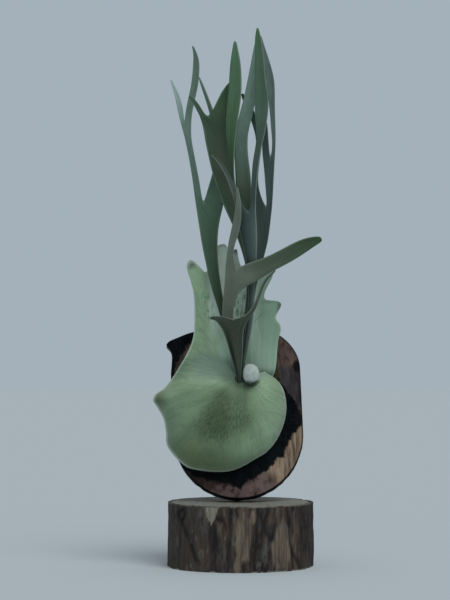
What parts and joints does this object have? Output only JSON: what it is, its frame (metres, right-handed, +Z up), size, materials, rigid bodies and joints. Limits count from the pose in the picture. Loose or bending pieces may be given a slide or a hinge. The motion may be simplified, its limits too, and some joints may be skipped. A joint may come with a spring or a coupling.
{
  "type": "mounted staghorn fern",
  "caption": "Staghorn fern grown on a round-ended wooden board that stands on a sawn log, with a domed shield frond over its moss and tall forked fronds.",
  "frame": {"origin": "the middle of the log stand's flat underside", "axes": "+Z up, the plant's front looks towards -Y, +X to the right as seen from the front"},
  "size_m": [0.1985, 0.1921, 0.634],
  "materials": {
    "log_bark": "rough grey-brown bark round pale sawn ends",
    "board_wood": "vertically grained brown board, charred black at its rim and round the moss",
    "moss": "matted dark moss and brown dead fronds",
    "rhizome_scales": "papery brown scales",
    "shield_leaf": "pale sage green, matt, with fine raised veins",
    "antler_leaf": "matt grey-green with fine white felt",
    "white_felt": "dense white felt"
  },
  "bodies": {
    "root": {"log_stand": "log_bark", "mounting_board": "board_wood", "root_ball": "moss", "rhizome": "rhizome_scales", "young_shield": "white_felt", "shield_frond_main": "shield_leaf", "shield_frond_right": "shield_leaf", "antler_frond_left": "antler_leaf", "antler_frond_middle": "antler_leaf", "antler_frond_right": "antler_leaf", "antler_frond_rear": "antler_leaf", "antler_frond_arm": "antler_leaf", "antler_frond_young": "antler_leaf"}
  },
  "joints": []
}
